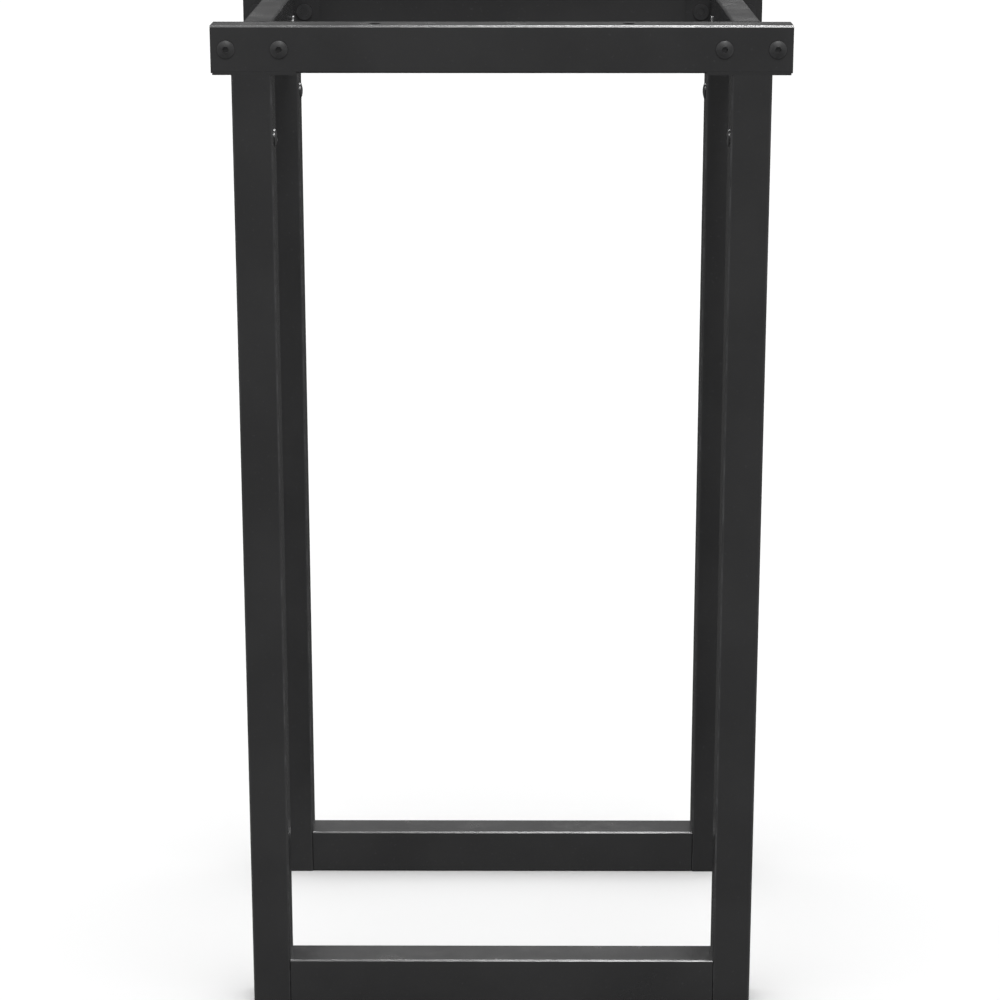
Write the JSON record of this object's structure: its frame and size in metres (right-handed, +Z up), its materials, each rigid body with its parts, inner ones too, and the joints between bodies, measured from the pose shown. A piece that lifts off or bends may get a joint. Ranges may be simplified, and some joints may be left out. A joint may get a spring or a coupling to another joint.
{
  "type": "firewood log rack",
  "caption": "Tall open firewood rack of black square steel tube: two welded end frames joined at the top by a bolted rim, open at the front, the back and below.",
  "frame": {"origin": "centre of the footprint, on the floor under the posts and bottom bars", "axes": "X is the width, along the top and bottom bars, +X to the right seen from the front; -Y is the front; +Z is up"},
  "size_m": [0.4, 0.2838, 0.73],
  "materials": {
    "powder_coat": "satin",
    "black_fastener": "satin",
    "plug_plastic": "matte"
  },
  "bodies": {
    "root": {"front_left_post": "powder_coat", "front_right_post": "powder_coat", "rear_left_post": "powder_coat", "rear_right_post": "powder_coat", "front_bottom_bar": "powder_coat", "rear_bottom_bar": "powder_coat", "front_top_bar": "powder_coat", "rear_top_bar": "powder_coat", "left_side_rail": "powder_coat", "right_side_rail": "powder_coat", "front_left_bracket": "powder_coat", "front_right_bracket": "powder_coat", "rear_left_bracket": "powder_coat", "rear_right_bracket": "powder_coat", "front_left_end_cap": "plug_plastic", "front_right_end_cap": "plug_plastic", "rear_left_end_cap": "plug_plastic", "rear_right_end_cap": "plug_plastic", "front_left_foot_plug": "plug_plastic", "front_right_foot_plug": "plug_plastic", "rear_left_foot_plug": "plug_plastic", "rear_right_foot_plug": "plug_plastic", "front_bar_bolts": "black_fastener", "rear_bar_bolts": "black_fastener", "bar_rivet_nuts": "black_fastener", "post_screws": "black_fastener", "rail_screws": "black_fastener", "bracket_weld_nuts": "black_fastener", "frame_welds": "powder_coat"}
  },
  "joints": []
}
